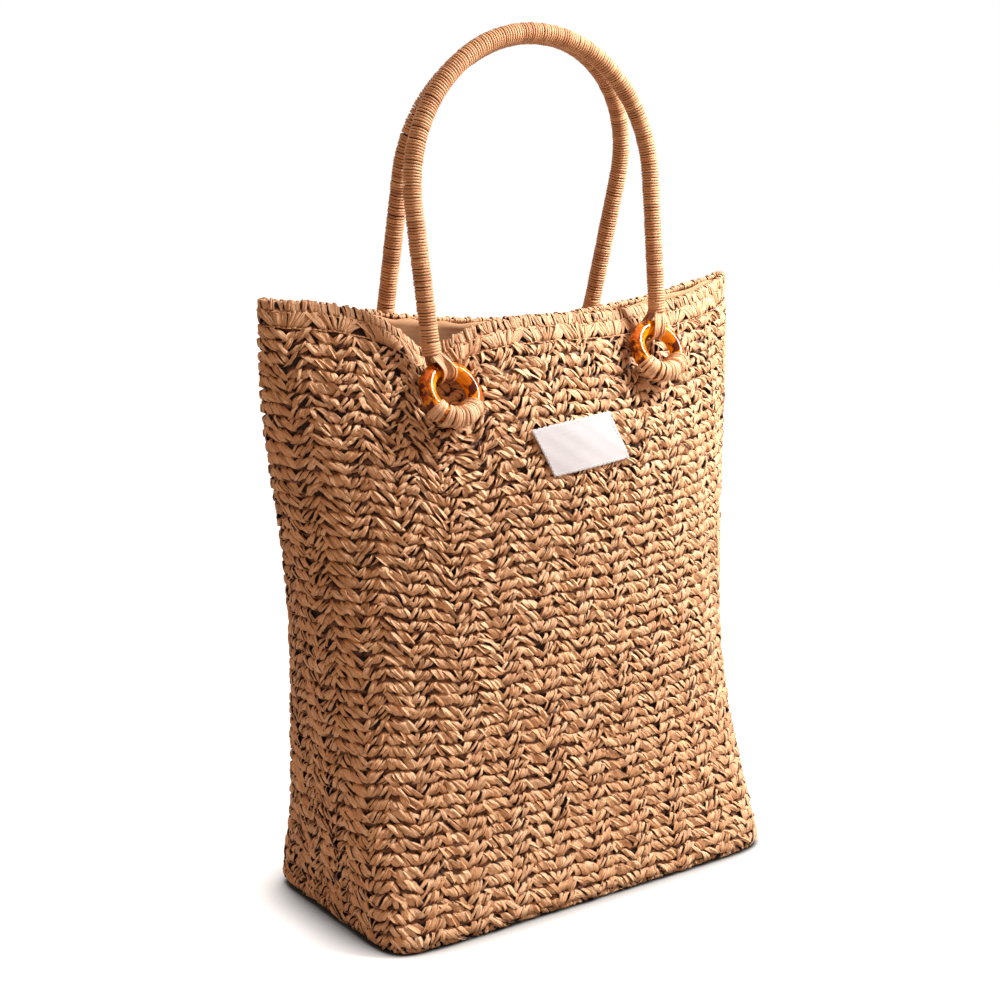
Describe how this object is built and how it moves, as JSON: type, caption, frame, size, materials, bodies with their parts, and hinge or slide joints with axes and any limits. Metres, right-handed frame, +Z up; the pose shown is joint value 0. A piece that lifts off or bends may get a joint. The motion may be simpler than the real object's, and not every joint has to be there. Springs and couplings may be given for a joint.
{
  "type": "beach bag",
  "caption": "Open tote of chevron-woven paper straw, with rope handles that swing on amber rings stitched to its rim.",
  "frame": {"origin": "middle of the flat base's outline, on the face that the bag stands on", "axes": "+Z up through the mouth, +X along the bag's width towards the wearer's right when facing the front, the labelled front faces -Y"},
  "size_m": [0.3684, 0.1556, 0.5459],
  "materials": {
    "woven_straw": "natural twisted paper straw, woven, matte",
    "binding_straw": "overcast rim of the same paper straw, matte",
    "stitch_straw": "flat paper straw strands, matte with a slight sheen",
    "lining_cloth": "plain tan cotton-blend cloth",
    "cotton_tape": "off-white cotton twill, bare",
    "tortoiseshell_resin": "amber acrylic with dark red-brown patches, polished",
    "handle_core": "stiff cord core, hidden by the wrap",
    "paper_cord": "fine twisted paper cord, matte"
  },
  "bodies": {
    "bag": {"woven_wall": "woven_straw", "woven_base": "woven_straw", "rim_binding": "binding_straw", "lining_front": "lining_cloth", "lining_rear": "lining_cloth", "lining_base": "lining_cloth", "label": "cotton_tape", "front_left_ring": "tortoiseshell_resin", "front_right_ring": "tortoiseshell_resin", "rear_left_ring": "tortoiseshell_resin", "rear_right_ring": "tortoiseshell_resin", "front_left_lashing": "stitch_straw", "front_right_lashing": "stitch_straw", "rear_left_lashing": "stitch_straw", "rear_right_lashing": "stitch_straw"},
    "front_handle": {"front_handle_core": "handle_core", "front_handle_wrap": "paper_cord", "front_left_loop": "stitch_straw", "front_right_loop": "stitch_straw", "front_left_end_binding": "paper_cord", "front_right_end_binding": "paper_cord"},
    "rear_handle": {"rear_handle_core": "handle_core", "rear_handle_wrap": "paper_cord", "rear_left_loop": "stitch_straw", "rear_right_loop": "stitch_straw", "rear_left_end_binding": "paper_cord", "rear_right_end_binding": "paper_cord"}
  },
  "joints": [
    {"name": "front_handle_swing", "type": "hinge", "parent": "bag", "child": "front_handle", "pos_m": [-0.083, -0.02516, 0.34147], "axis": [0.9946, 0.0014, 0.1036], "range_deg": [0, 90]},
    {"name": "rear_handle_swing", "type": "hinge", "parent": "bag", "child": "rear_handle", "pos_m": [-0.083, 0.04311, 0.35867], "axis": [-1, 0, 0], "range_deg": [0, 135]}
  ]
}
